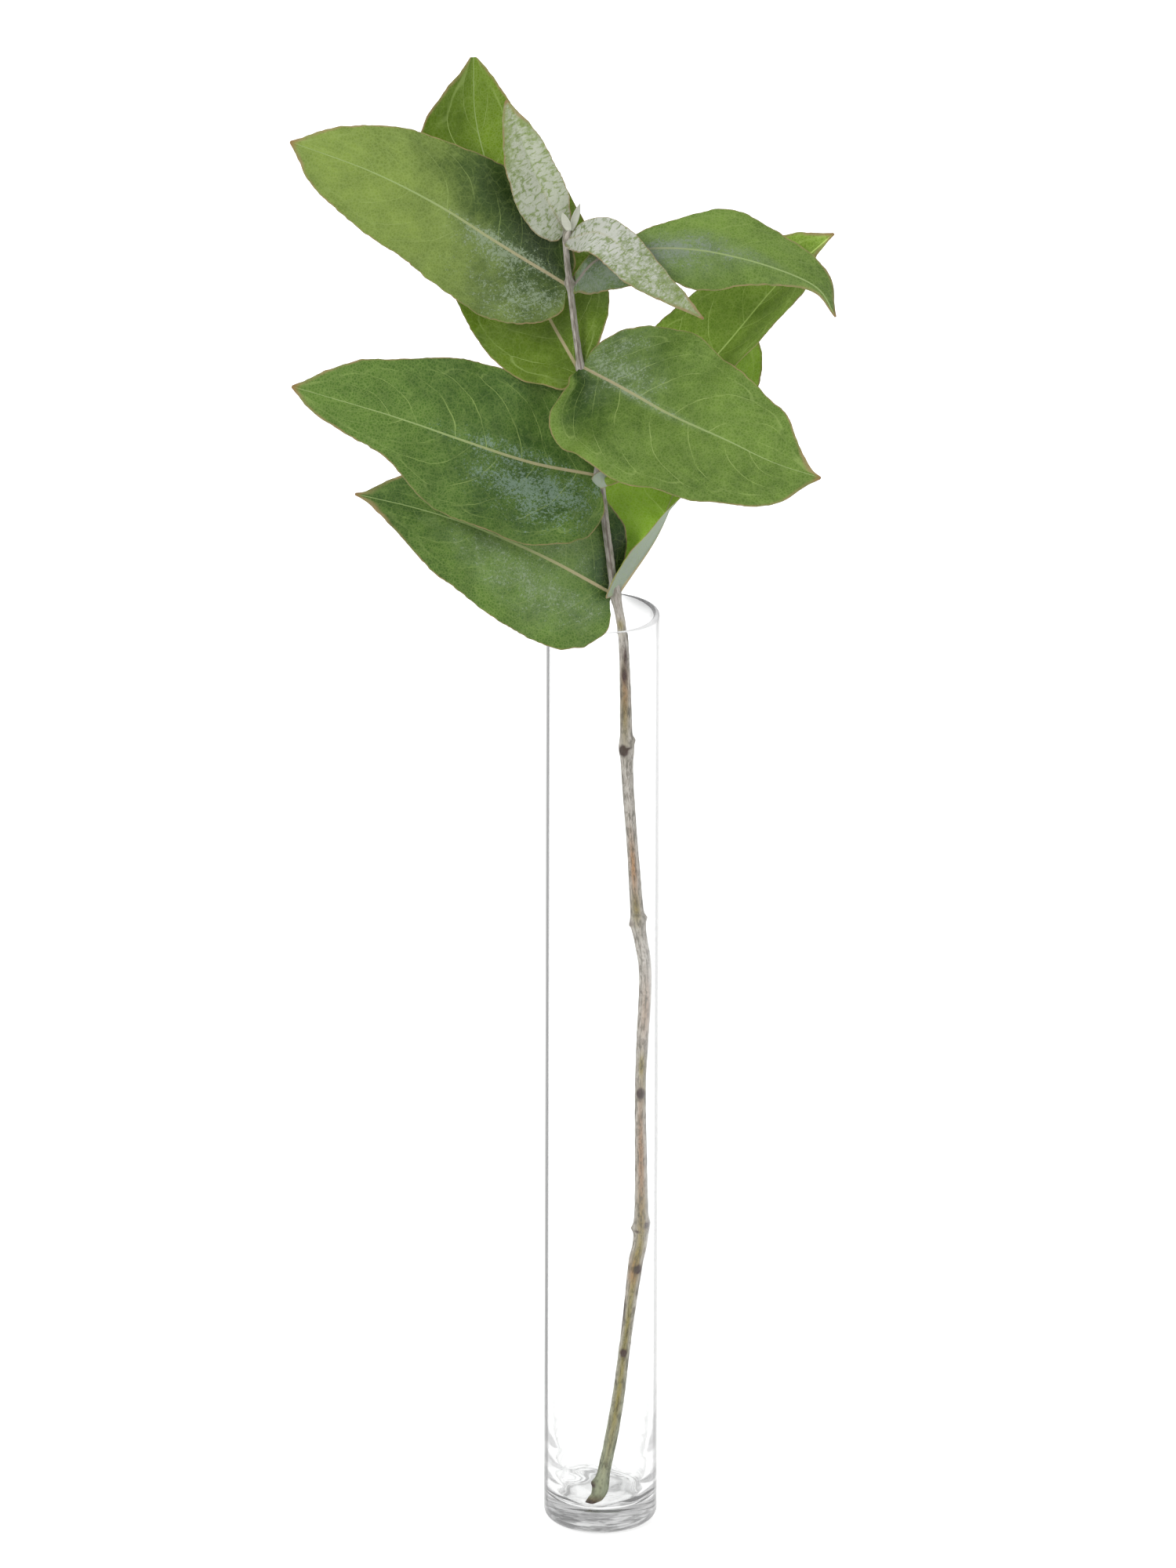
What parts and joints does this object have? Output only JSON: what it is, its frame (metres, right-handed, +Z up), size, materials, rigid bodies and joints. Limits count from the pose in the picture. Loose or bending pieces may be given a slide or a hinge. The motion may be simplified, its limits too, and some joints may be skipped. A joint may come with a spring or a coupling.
{
  "type": "eucalyptus branch in a glass tube vase",
  "caption": "Cut eucalyptus shoot with broad, wavy, clasping leaves in opposite pairs, standing dry in a tall, narrow, clear glass tube vase with a thick floor.",
  "frame": {"origin": "centre of the vase's flat foot, on the surface it stands on", "axes": "+Z up along the vase's axis; +Y away from the viewer of the picture; +X to that viewer's right"},
  "size_m": [0.2397, 0.1279, 0.676],
  "materials": {
    "glass": "clear, smooth",
    "bark": "dull, with a pale bloom",
    "green_leaf": "satin, waxy",
    "silvery_leaf": "dull, waxy bloom"
  },
  "bodies": {
    "root": {"vase": "glass", "stem": "bark", "leaf_5_back": "silvery_leaf", "leaf_5_front": "silvery_leaf", "leaf_4_left": "green_leaf", "leaf_4_right": "green_leaf", "leaf_3_back": "green_leaf", "leaf_3_front": "green_leaf", "leaf_2_left": "green_leaf", "leaf_2_right": "green_leaf", "leaf_1_left": "green_leaf", "leaf_1_right": "green_leaf"}
  },
  "joints": []
}
